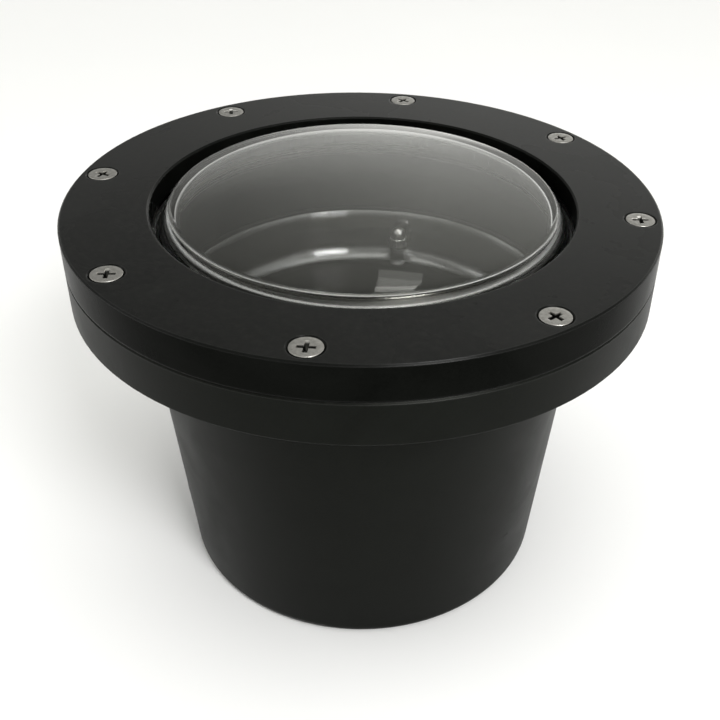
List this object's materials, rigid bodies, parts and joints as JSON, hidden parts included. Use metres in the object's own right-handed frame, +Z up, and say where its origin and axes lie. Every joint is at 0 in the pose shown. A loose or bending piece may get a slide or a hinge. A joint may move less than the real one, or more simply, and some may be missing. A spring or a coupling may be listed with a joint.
{
  "type": "in-ground well light",
  "caption": "Round in-ground well light: black tapered can with a bolted cover ring, domed glass lens, sealed lamp deck and an aiming socket bracket.",
  "frame": {"origin": "centre of the foot's rim, on the plane that the light stands on", "axes": "+Z up along the can's axis, +Y from the axis towards the first deck stud and the cable gland, +X by the right-hand rule through a cover screw"},
  "size_m": [0.216, 0.216, 0.1583],
  "materials": {
    "black_composite": "black moulded composite with a fine satin skin",
    "gloss_black": "black moulded plastic, smooth and fairly glossy",
    "stainless": "stainless steel, machined and passivated",
    "polished_steel": "polished stainless steel",
    "zinc_steel": "zinc-plated steel strip and turned parts",
    "brass": "machined brass",
    "clear_glass": "clear pressed glass, polished crown",
    "black_rubber": "black silicone rubber",
    "white_nylon": "natural nylon",
    "ceramic": "unglazed steatite ceramic",
    "lead_sleeve": "braided glass-fibre sleeving over a twin lead",
    "gland_nylon": "black nylon"
  },
  "bodies": {
    "root": {"housing": "black_composite", "cover_ring": "black_composite", "cover_screws": "stainless", "screw_inserts": "brass", "lens": "clear_glass", "lens_gasket": "black_rubber", "lamp_deck": "gloss_black", "deck_studs": "stainless", "deck_washers": "stainless", "deck_cap_nuts": "polished_steel", "swivel_stem": "zinc_steel", "thrust_washer": "white_nylon", "friction_washer": "white_nylon", "swivel_nut": "zinc_steel", "stem_lock_nut": "zinc_steel", "supply_lead": "lead_sleeve", "terminal_block": "white_nylon", "clamp_screws": "brass", "block_screws": "zinc_steel", "gland_body": "gland_nylon", "gland_seal": "black_rubber", "gland_cap": "gland_nylon", "gland_washer": "black_rubber", "gland_lock_nut": "gland_nylon"},
    "swivel": {"yoke": "zinc_steel"},
    "carrier": {"socket_carrier": "zinc_steel", "pivot_screws": "stainless", "lamp_socket": "ceramic", "socket_contacts": "brass", "socket_screws": "zinc_steel", "socket_lead": "lead_sleeve"}
  },
  "joints": [
    {"name": "swivel_turn", "type": "hinge", "parent": "root", "child": "swivel", "pos_m": [0, 0, 0.0615], "axis": [0, 0, 1], "range_deg": [-175, 175]},
    {"name": "socket_tilt", "type": "hinge", "parent": "swivel", "child": "carrier", "pos_m": [0, 0, 0.0795], "axis": [1, 0, 0], "range_deg": [-25, 25], "deforming": ["socket_lead"]}
  ]
}
